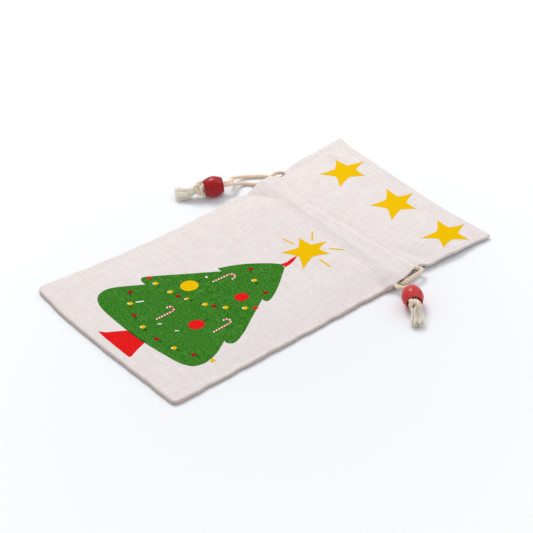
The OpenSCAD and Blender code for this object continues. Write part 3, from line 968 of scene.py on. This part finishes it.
front_drawn = 2.5
front_x, front_y, cut_row, cut_column = cloth_grid(
    left_front_edge, right_front_edge, front_drawn, bottom_y
)
front_z = front_height(front_x, front_y)
mouth_gap = mouth_at(front_x, front_drawn) - front_y
front_z = front_z - rounded(np.maximum(mouth_gap, 0), 0.6)
in_from_side = edge_distance(front_x, front_y, left_front_edge, right_front_edge)
hemmed = (front_y > 70) & (in_from_side < 4) | (mouth_gap < 0.7)
thick = np.where(hemmed, 2 * cloth_t, cloth_t)
front_under = np.where(front_y < 44, np.maximum(front_z - thick, seam_z), front_z - thick)
front_z = np.where(front_y < 44, np.maximum(front_z, seam_z + 0.04), front_z)
front_parts = quarters(
    "front_cloth", three(front_x, front_y, front_z), three(front_x, front_y, front_under),
    painted_seam_shade(front_y, in_from_side), cut_row, cut_column,
    ["front_panel", "left_front_hem", "right_front_hem"],
)

back_x, back_y, cut_row, cut_column = cloth_grid(left_back_edge, right_back_edge, 0, bottom_y)
back_z = back_height(back_x, back_y)
in_from_side = edge_distance(back_x, back_y, left_back_edge, right_back_edge)
hemmed = (back_y > 70) & (in_from_side < 4)
back_top = np.where(back_y < 44, np.minimum(back_z + cloth_t, seam_z), back_z + cloth_t)
back_top = back_top + np.where(hemmed, cloth_t, 0)
back_parts = quarters(
    "back_cloth", three(back_x, back_y, back_top), three(back_x, back_y, back_z),
    painted_seam_shade(back_y, in_from_side), cut_row, cut_column,
    ["back_panel", "left_back_hem", "right_back_hem"],
)

# ---- Facings ----
# The mouth's cloth is folded to the inside and sewn down below the cords, so that each channel
# has cloth on both sides. The facings stop short of the side slits.
facing_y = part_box("front_facing")[0].y / MM
facing_left = [
    (41, -65.5), (44, -62), (48, -57.5), (66, -57.5), (70, -61), (74, -65.4), (90, -68),
    (112, -68.8), (125, -66),
]
facing_right = [(41, 73), (44, 69), (48, 68), (66, 68), (70, 69.6), (74, 72), (125, 75)]


def facing(name, top_of, node):
    """A facing between the two rows of stitches and on to the mouth."""
    x, y, _, column = cloth_grid(facing_left, facing_right, front_drawn, facing_y, 2.0)
    y = np.minimum(y, mouth_at(x, front_drawn) - 0.75)
    top = settled(three(x, y, top_of(x, y)))
    under = top - (0, 0, cloth_t)
    normals = grid_normals(top)
    for side, columns in ((-1, slice(0, column + 1)), (1, slice(column, None))):
        piece = shell(f"{name}_{'left' if side < 0 else 'right'}", top[:, columns],
                      under[:, columns], normals[:, columns], canvas_material)
        gather(piece)
        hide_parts(node)


def front_facing_top(x, y):
    return front_height(x, y, 0.0) - cloth_t - 0.08


def back_facing_top(x, y):
    channel = ease((y - lower_row_y - 1.2) / 3) * ease((upper_row(x) - 1.0 - y) / 3)
    return 2 * cloth_t + 0.02 + 2.75 * channel


facing("front_facing_cloth", front_facing_top, "front_facing")
facing("back_facing_cloth", back_facing_top, "back_facing")

# ---- Seam allowances ----
# Inside the side and bottom seams lie the raw edges of both layers, turned in 8 mm and
# overlocked with cotton thread along their edge.
seam_w = 8.0
allowance_under, allowance_top = 0.64, 1.4


def side_strip(side):
    edge = left_front_edge if side < 0 else right_front_edge
    y = np.arange(bottom_y + seam_w, 41.1, 2.0)[:, None]
    reach = np.abs(edge_at(edge, y))
    inner = reach - seam_w + 0.25 * np.sin(y / 2.7) + 0.15 * np.sin(y / 1.3)
    t = np.linspace(0, 1, 5)[None, :]
    x = side * (reach - 0.9 + (inner - reach + 0.9) * t)
    x = x[:, ::-1] if side > 0 else x
    return x, y + 0 * x


def bottom_strip():
    x = np.arange(-half_w + 9, half_w - 6, 2.0)[None, :]
    inner = bottom_y + seam_w + 0.25 * np.sin(x / 2.7)
    t = np.linspace(0, 1, 5)[:, None]
    return x + 0 * t, bottom_y + 0.9 + (inner - bottom_y - 0.9) * t


def allowance(name, x, y, side, node):
    top = settled(three(x, y, allowance_top + 0 * x))
    under = settled(three(x, y, allowance_under + 0 * x))
    piece = shell(name, top, under, grid_normals(top), canvas_material)
    lay_cloth(piece, side)
    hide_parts(node)
    return piece


allowance("left_seam_turnings", *side_strip(-1), -1, "left_seam_allowance")
allowance("right_seam_turnings", *side_strip(1), 1, "right_seam_allowance")
allowance("bottom_seam_turnings", *bottom_strip(), 0, "bottom_seam_allowance")

# ---- Thread ----
# Off-white cotton thread: single rows of lockstitch across the channel and down the ruffle's
# hems, and slanted overlock stitches over the raw edges inside.
stitch_l, stitch_pitch, thread_w, thread_h = 2.2, 3.2, 0.5, 0.34
stitch_tree, given = new_tree(
    "row_of_stitches", {"Pitch": "Float", "Length": "Float", "Width": "Float",
                        "Height": "Float", "Slant": "Float", "Material": "Material"}
)
line = lines_of(stitch_tree, given, "LENGTH", given["Pitch"])
tangent = add(stitch_tree, "GeometryNodeInputTangent").outputs[0]
lie = add(stitch_tree, "FunctionNodeAlignRotationToVector", {"Vector": tangent}, axis="X")
odd = maths(stitch_tree, "MODULO", add(stitch_tree, "GeometryNodeInputIndex").outputs[0], 2.0)
lean = maths(stitch_tree, "MULTIPLY_ADD", odd, 2, -1)
lean = maths(stitch_tree, "MULTIPLY", given["Slant"], lean)
lean = add(stitch_tree, "FunctionNodeEulerToRotation",
           {0: add(stitch_tree, "ShaderNodeCombineXYZ", {2: lean}).outputs[0]})
lie = add(stitch_tree, "FunctionNodeRotateRotation",
          {"Rotation": lie.outputs[0], "Rotate By": lean.outputs[0]}, rotation_space="LOCAL")
loop = add(stitch_tree, "GeometryNodeMeshUVSphere", {"Segments": 6, "Rings": 6, "Radius": 0.5})
long_way = add(stitch_tree, "GeometryNodeTransform",
               {"Geometry": loop.outputs[0], "Rotation": (0, pi / 2, 0)})
sized = add(stitch_tree, "ShaderNodeCombineXYZ",
            {0: given["Length"], 1: given["Width"], 2: given["Height"]})
loop = add(stitch_tree, "GeometryNodeTransform",
           {"Geometry": long_way.outputs[0], "Scale": sized.outputs[0]})
row = add(stitch_tree, "GeometryNodeInstanceOnPoints",
          {"Points": line, "Instance": loop.outputs[0], "Rotation": lie.outputs[0]})
end_tree(stitch_tree, row.outputs[0], given["Material"])


def cotton_thread():
    """Matt thread with a fine twist."""
    thread = (0.76, 0.71, 0.66)
    material, tree, shader = finish_of("cotton_thread", thread, 0.8, Sheen_Weight=0.2,
                                       Specular_IOR_Level=0.25)
    twist = noise(tree, own_place(tree), 2600.0, 2.0)
    tone = mixed(tree, ranged(tree, twist, 0.35, 0.65), (0.62, 0.56, 0.50), thread)
    dress(tree, shader, tone, twist, 0.4, 0.0001)
    return material


thread_material = cotton_thread()


def stitches(name, lines, side, nodes=(), slant=0.0, pitch=stitch_pitch):
    piece = grown(name, [settled(line) * MM for line in lines], stitch_tree,
                  {"Pitch": pitch * MM, "Length": stitch_l * MM, "Width": thread_w * MM,
                   "Height": thread_h * MM, "Slant": slant, "Material": thread_material})
    lay_cloth(piece, side)
    if nodes:
        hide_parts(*nodes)


for side, word, x in ((-1, "left", np.arange(-1.6, -59, -1.0)),
                      (1, "right", np.arange(1.6, 71, 1.0))):
    low_y, high_y = lower_row_y + 0 * x, upper_row(x)
    front_low = three(x, low_y, front_height(x, low_y) + 0.02)
    front_high = three(x, high_y, front_height(x, high_y) + 0.02)
    stitches(f"front_lower_stitches_{word}", [front_low], side, ["front_lower_stitching"])
    stitches(f"front_upper_stitches_{word}", [front_high], side, ["front_upper_stitching"])
    for row_name, row_y, zone in (("lower", low_y, "body"), ("upper", high_y, "top")):
        inner, outer = three(x, row_y, 1.3 + 0 * x), three(x, row_y, 0 * x)
        stitches(f"back_{row_name}_stitches_{word}", [inner, outer], side,
                 [f"back_{row_name}_stitching"])
    hem_y = np.arange(74, 119, 1.0)
    edge = left_front_edge if side < 0 else right_front_edge
    hem_x = edge_at(edge, hem_y) - side * 3.4
    stitches(f"{word}_hem_stitches", [three(hem_x, hem_y, front_height(hem_x, hem_y) - 0.02)],
             side)
    strip_x, strip_y = side_strip(side)
    raw_x = strip_x[:, -1 if side < 0 else 0]
    stitches(f"{word}_overlock_stitches", [three(raw_x, strip_y[:, 0], 1.05 + 0 * raw_x)],
             side, [f"{word}_overlock"], 1.0, 1.6)
strip_x, strip_y = bottom_strip()
stitches("bottom_overlock_stitches", [three(strip_x[0], strip_y[-1], 1.05 + 0 * strip_x[0])], 0,
         ["bottom_overlock"], 1.0, 1.6)

# ---- Printed picture ----
# Water-based inks screened on the front cloth before it was sewn: a green tree on a red trunk
# with garlands, baubles and candy canes, a yellow star over it and three stars on the ruffle.
# Places on it are in millimetres across from the middle and up from the bottom.
tree_sides = [
    [(13, 129.1), (7.4, 124.6), (-2.1, 114.5), (-7.7, 105.7), (-12.1, 96.8)],
    [(-12.1, 96.8), (-7.9, 96.8)],
    [(-7.9, 96.8), (-19, 82.3), (-35.1, 61.1), (-38.5, 55.4), (-36.4, 53.3), (-31.1, 53)],
    [(-31.1, 53), (-39.7, 40.7), (-43.2, 34.6), (-44.3, 30.3), (-43.5, 25.5), (-40.3, 21.8),
     (-34.4, 19.3), (-26.4, 18.1), (-6, 17.9), (15.7, 19.2), (43, 23.4), (51.4, 26.3),
     (55.6, 30), (57.3, 37.5), (54.6, 47), (48.8, 56.9)],
    [(48.8, 56.9), (51.7, 56.9), (54.6, 60.2), (51.6, 69.1), (42.6, 83.2), (32.4, 99.1)],
    [(32.4, 99.1), (34.7, 98.8), (36.8, 100.5), (34.4, 106.8), (27.5, 116.5), (17.2, 128.7)],
    [(17.2, 128.7), (13, 129.1)],
]
trunk = [
    (-12.6, 3.6), (-8.1, 7), (-4.8, 12.5), (-0.6, 19), (15.7, 20.2), (18.3, 12.2), (21.3, 5.5),
    (20.6, 4), (8.1, 3.6), (-2.9, 3.3),
]
trunk_top = [(-0.6, 18.3), (7.5, 18.6), (15.7, 19.4)]
tip = [(12.9, 128.8), (17.3, 129.7), (16.9, 133.5), (15.9, 137.6), (13.2, 142.2), (13.2, 137),
       (13.9, 133)]
topper = [(3.5, 136), (0.1, 154.3), (15.3, 165), (26.7, 158.3), (26.7, 136.3)]
rays = [
    [(-6.3, 145.9), (2.8, 147.7)], [(1.4, 164), (7.6, 158.9)], [(22.1, 161), (30.1, 167.5)],
    [(26.6, 150.1), (36.8, 150.2)],
]
ruffle_stars = [
    [(-48.1, 208.1), (-55.2, 228.7), (-41.3, 242.2), (-27.5, 232), (-27.1, 209.8)],
    [(2.3, 211.7), (-6.5, 233.1), (8.5, 243.6), (24.3, 233.2), (25.4, 211.1)],
    [(52.7, 212.9), (43.5, 234.8), (58.2, 245.4), (73.3, 236.4), (69.6, 217.6)],
]
garlands = [
    ("RyyryyryyR", [(-35, 58.7), (-27.4, 58.4), (-13.9, 60.3), (-7, 61.5), (-0.4, 64.1),
                    (11.5, 69.4), (16.9, 72.6), (23.1, 77.1), (32.1, 85.6), (36.7, 90.2)]),
    ("ryr", [(3.1, 111.9), (14.1, 106.7), (29, 104.2)]),
    ("ryryryry", [(-31.3, 41.2), (-21.9, 34.7), (-10.5, 29.8), (2.7, 27.3), (18.3, 26.8),
                  (32.8, 29.9), (46.3, 35.1), (58.6, 40.4)]),
]
red_balls = [((21.7, 90.7), 4.6, 4.05), ((23.8, 53.6), 5.3, 4.6)]
yellow_ball = ((-10.4, 72.9), 5.95, 5.25)
hangers = [[(-10.8, 77.6), (-10.3, 82.6)], [(22.1, 94.6), (22.3, 97.4)], [(24.4, 58.4), (24.7, 63)]]
canes = [(-3.2, 86.2, -6, 1), (2.4, 37.7, -2, -1), (37.3, 56.9, -0.5, -1)]
flecks = [
    ([(-20.7, 38), (-19.3, 40.2), (-18, 42.4)], 1), ([(-10.8, 86.2), (-9, 86)], 1.3),
    ([(6.8, 35.8), (8.4, 37.8)], 0.9), ([(19.6, 39.9), (21.2, 41.9)], 0.8),
]


def star(tips):
    """A hand-drawn five-pointed star through its tips, with slightly hollow sides."""
    waist, hollow = 0.55, 0.05
    tips = np.array(tips, float)
    middle = tips.mean(0)
    outline = []
    for a, b in zip(tips, np.roll(tips, -1, axis=0)):
        inner = middle + waist * ((a + b) / 2 - middle)
        outline += [a, a * 0.5 + inner * 0.5 + hollow * (middle - a), inner]
        outline.append(b * 0.5 + inner * 0.5 + hollow * (middle - b))
    return outline


drawn_way = np.array([cos(radians(47)), sin(radians(47))])


def oval(at, long, short):
    """An oval, longest in the direction it was drawn in."""
    across = np.array([-drawn_way[1], drawn_way[0]])
    return [np.array(at) + long * cos(a) * drawn_way + short * sin(a) * across
            for a in np.linspace(0, 2 * pi, 28, endpoint=False)]


def bulb(at, r):
    """A small lamp of the garland: round, with a pointed end."""
    outline = oval(at, r, r)
    outline[0] = outline[0] + 0.6 * r * drawn_way
    return outline


def stroke(points, width):
    """The outline of a brush line along the points."""
    p = np.array(points, float)
    d = np.gradient(p, axis=0)
    n = np.stack([-d[:, 1], d[:, 0]], 1) / np.linalg.norm(d, axis=1)[:, None] * width / 2
    return [*map(tuple, p + n), *map(tuple, (p - n)[::-1])]


film_pitch = 1.5


def filled(outline):
    """Points and triangles that fill an outline, split along the middle of the pouch. The
    outline's heights are from the bottom of the pouch."""
    loop = np.array([(x, y + bottom_y) for x, y in outline], float)
    x, y = loop.T
    if np.dot(x, np.roll(y, -1)) < np.dot(y, np.roll(x, -1)):
        loop = loop[::-1]
    edge = []
    for a, b in zip(loop, np.roll(loop, -1, axis=0)):
        count = max(1, ceil(np.linalg.norm(b - a) / film_pitch))
        edge += [a + (b - a) * i / count for i in range(count)]
    low, high = loop.min(0), loop.max(0)
    points = [Vector(p) for p in edge]
    if film_pitch < (high - low).min():
        inner_x = np.arange(low[0] + film_pitch / 2, high[0], film_pitch)
        for y in np.arange(low[1] + film_pitch / 2, high[1], film_pitch):
            points += [Vector((x, y)) for x in inner_x]
    cuts = []
    if low[0] < 0 < high[0]:
        points += [Vector((0, low[1] - 1)), Vector((0, high[1] + 1))]
        cuts = [(len(points) - 2, len(points) - 1)]
    made = delaunay_2d_cdt(points, cuts, [list(range(len(edge)))], 1, 1e-5)
    triangles = [f for f, source in zip(made[2], made[5]) if source]
    return np.array([tuple(p) for p in made[0]]), triangles


def lying_height(x, y):
    return front_height(*unsettle(x, y))


def ink_piece(name, outlines, colour, material, lift):
    """A thin film of ink that follows the cloth, in a piece for each side of the pouch."""
    for side, word in ((-1, "left"), (1, "right")):
        points, faces, upright = [], [], []
        for outline in outlines:
            flat, triangles = filled(outline)
            mine = [t for t in triangles if side * flat[list(t), 0].mean() > 0]
            if not mine:
                continue
            used = sorted({i for t in mine for i in t})
            new = {old: i for i, old in enumerate(used)}
            x, y = flat[used].T
            z = lying_height(x, y)
            nudge = 0.1
            slope_x = (lying_height(x + nudge, y) - lying_height(x - nudge, y)) / (2 * nudge)
            slope_y = (lying_height(x, y + nudge) - lying_height(x, y - nudge)) / (2 * nudge)
            n = three(-slope_x, -slope_y, np.ones_like(x))
            n /= np.linalg.norm(n, axis=1)[:, None]
            base, count = len(points), len(used)
            points += [*three(x, y, z + lift), *three(x, y, z - 0.05)]
            upright += [*n, *-n]
            tops = [[base + new[i] for i in t] for t in mine]
            for t in tops:
                a, b, c = (np.array(points[i][:2]) for i in t)
                if (b - a)[0] * (c - a)[1] - (b - a)[1] * (c - a)[0] < 0:
                    t.reverse()
            directed = {(t[i], t[(i + 1) % 3]) for t in tops for i in range(3)}
            rim = [e for e in directed if (e[1], e[0]) not in directed]
            faces += tops
            faces += [[i + count for i in reversed(t)] for t in tops]
            faces += [[a, a + count, b + count, b] for a, b in sorted(rim)]
        if not faces:
            continue
        mesh = bpy.data.meshes.new(name)
        mesh.from_pydata([tuple(np.array(p) * MM) for p in points], [], faces)
        mesh.materials.append(material)
        mesh.polygons.foreach_set("use_smooth", [len(f) == 3 for f in faces])
        corners = []
        for face in mesh.polygons:
            flat_on = len(face.vertices) == 3
            corners += [tuple(upright[i] if flat_on else face.normal) for i in face.vertices]
        mesh.normals_split_custom_set(corners)
        piece = link(f"{name}_{word}", mesh)
        gather(piece)
        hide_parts(f"{colour}_print")


def ink(name, colour, thin, thick, cover):
    """Ink held by the weave: thinner on the thread tops and in the gaps, thick beside them."""
    material, tree, shader = finish_of(name, colour, 0.95, Specular_IOR_Level=0.02)
    woven = add(tree, "ShaderNodeGroup", node_tree=weave).outputs
    blotch = noise(tree, own_place(tree), 900.0, 3.0)
    tone = mixed(tree, ranged(tree, blotch, 0.42, 0.66, 0, cover), colour, thin)
    tone = mixed(tree, ranged(tree, woven["Gap"], 0.3, 0.75, 0, cover), tone, thick)
    tone = mixed(tree, ranged(tree, woven["Slub"], 0.55, 0.68, 0, 0.6 * cover), tone, thin)
    dress(tree, shader, tone, woven["Height"], 0.5, 0.00015)
    return material


green_ink = ink("green_ink", (0.036, 0.21, 0.012), (0.12, 0.36, 0.06), (0.005, 0.06, 0.002), 0.95)
red_ink = ink("red_ink", (0.74, 0.006, 0.008), (0.80, 0.05, 0.04), (0.5, 0.004, 0.006), 0.4)
yellow_ink = ink("yellow_ink", (0.80, 0.48, 0.0), (0.84, 0.54, 0.01), (0.70, 0.37, 0.0), 0.4)
white_ink = ink("white_ink", (0.86, 0.85, 0.83), (0.8, 0.84, 0.78), (0.7, 0.72, 0.68), 0.3)
dark_ink = ink("dark_green_ink", (0.012, 0.05, 0.012), (0.03, 0.12, 0.02),
               (0.008, 0.03, 0.008), 0.5)
dark_red_ink = ink("dark_red_ink", (0.33, 0.008, 0.012), (0.5, 0.02, 0.02),
                   (0.2, 0.004, 0.006), 0.5)

tree_outline = [tuple(p) for stretch in tree_sides for p in eased(stretch, 1.5)[:-1]]
ink_piece("green_tree", [tree_outline], "green", green_ink, 0.13)
ink_piece("red_trunk_and_tip", [trunk, tip], "red", red_ink, 0.11)
ink_piece("topper_star", [star(topper), *(stroke(ray, 1.1) for ray in rays)], "yellow",
          yellow_ink, 0.1)
ink_piece("ruffle_stars", [star(tips) for tips in ruffle_stars], "yellow", yellow_ink, 0.1)
strings = [stroke(trunk_top, 0.8)] + [stroke(line, 0.8) for line in hangers]
for _, places in garlands:
    for a, b in zip(np.array(places), np.array(places)[1:]):
        low = np.array([0, -0.02 * np.linalg.norm(b - a)])
        strings += [stroke([a + (b - a) * t + low for t in (0.12, 0.22, 0.32)], 0.75),
                    stroke([a + (b - a) * t + low for t in (0.72, 0.8, 0.88)], 0.5)]
ink_piece("garland_strings", strings, "green", dark_ink, 0.17)
lights = [(kind, at) for kinds, places in garlands for kind, at in zip(kinds, places)]
ink_piece("red_lights", [bulb(p, 1.5) for kind, p in lights if kind == "r"], "red",
          dark_red_ink, 0.21)
ink_piece("yellow_lights", [bulb(p, 1.55) for kind, p in lights if kind == "y"], "yellow",
          yellow_ink, 0.21)
bright = [bulb(p, 1.5) for kind, p in lights if kind == "R"]
ink_piece("red_baubles", bright + [oval(*ball) for ball in red_balls], "red", red_ink, 0.2)
ink_piece("yellow_bauble", [oval(*yellow_ball)], "yellow", yellow_ink, 0.2)


def cane_line(cane):
    """A candy cane's middle line: a straight stick with a half-round hook."""
    x, y, turn, hand = cane
    stick = [(0, t) for t in np.linspace(0, 12, 13)]
    hook = [(2.6 - 2.6 * cos(a), 12 + 2.6 * sin(a)) for a in np.linspace(0.2, 1.1 * pi, 9)]
    c, s = cos(radians(turn)), sin(radians(turn))
    return [(x + c * hand * px - s * py, y + s * hand * px + c * py) for px, py in stick + hook]


cane_w = 1.25
cane_lines = [cane_line(c) for c in canes]
glints = [oval(np.array(p) - 1.5 * drawn_way, 0.5, 0.7) for kind, p in lights if kind == "y"]
white_marks = [stroke(line, cane_w) for line in cane_lines] + glints
white_marks += [stroke(line, width) for line, width in flecks]
ink_piece("white_marks", white_marks, "white", white_ink, 0.25)
bands = [stroke(line[i:i + 2], cane_w) for line in cane_lines for i in range(1, 20, 2)]
ink_piece("cane_stripes", bands, "red", red_ink, 0.3)
